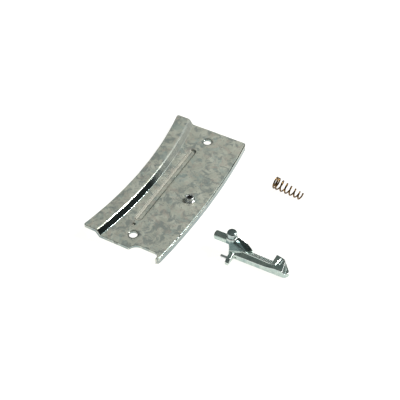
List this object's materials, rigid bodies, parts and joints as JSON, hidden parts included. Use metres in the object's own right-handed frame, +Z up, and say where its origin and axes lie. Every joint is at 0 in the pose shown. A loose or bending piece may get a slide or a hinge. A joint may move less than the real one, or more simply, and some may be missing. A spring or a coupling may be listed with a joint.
{
  "type": "stair gate latch",
  "caption": "Gate latch set: curved cover plate with raised strip and lip, hooked pivoting lever with guide rod, and a conical compression spring.",
  "frame": {"origin": "midpoint between the two screw holes, on the cover plate's underside", "axes": "+Z up off the surface that the set lies on, +Y along the plate through both screw holes, +X across the plate from the inner arc to the outer arc"},
  "size_m": [0.1088, 0.101, 0.0151],
  "materials": {
    "cast_zinc": "mottled zinc-plated die casting, half matt, bright on its edges",
    "plated_zinc": "shiny plated die casting with soft cast surface",
    "plated_steel": "shiny plated steel pin",
    "bright_steel": "bright turned steel",
    "spring_wire": "dark brass-coloured spring wire"
  },
  "bodies": {
    "plate": {"cover_plate": "cast_zinc", "pressed_bush": "bright_steel"},
    "pivot": {"pivot_pin": "plated_steel"},
    "lever": {"lever_body": "plated_zinc", "cross_pin": "bright_steel"},
    "spring": {"spring_base": "spring_wire", "spring_coils": "spring_wire"},
    "spring_end": {"spring_tip": "spring_wire"}
  },
  "joints": [
    {"name": "lever_lift", "type": "slide", "parent": "plate", "child": "pivot", "axis": [0, 0, 1], "range_m": [0, 0.03]},
    {"name": "lever_swing", "type": "hinge", "parent": "pivot", "child": "lever", "pos_m": [0.0494, -0.0234, 0.0093], "axis": [0, 0, 1], "range_deg": [-25, 25]},
    {"name": "spring_lift", "type": "slide", "parent": "plate", "child": "spring", "axis": [0, 0, 1], "range_m": [0, 0.03]},
    {"name": "spring_squeeze", "type": "slide", "parent": "spring", "child": "spring_end", "axis": [-0.9911, 0.0989, 0.0894], "range_m": [0, 0.008], "stiffness_N_per_m": 400, "deforming": ["spring_coils"]}
  ]
}
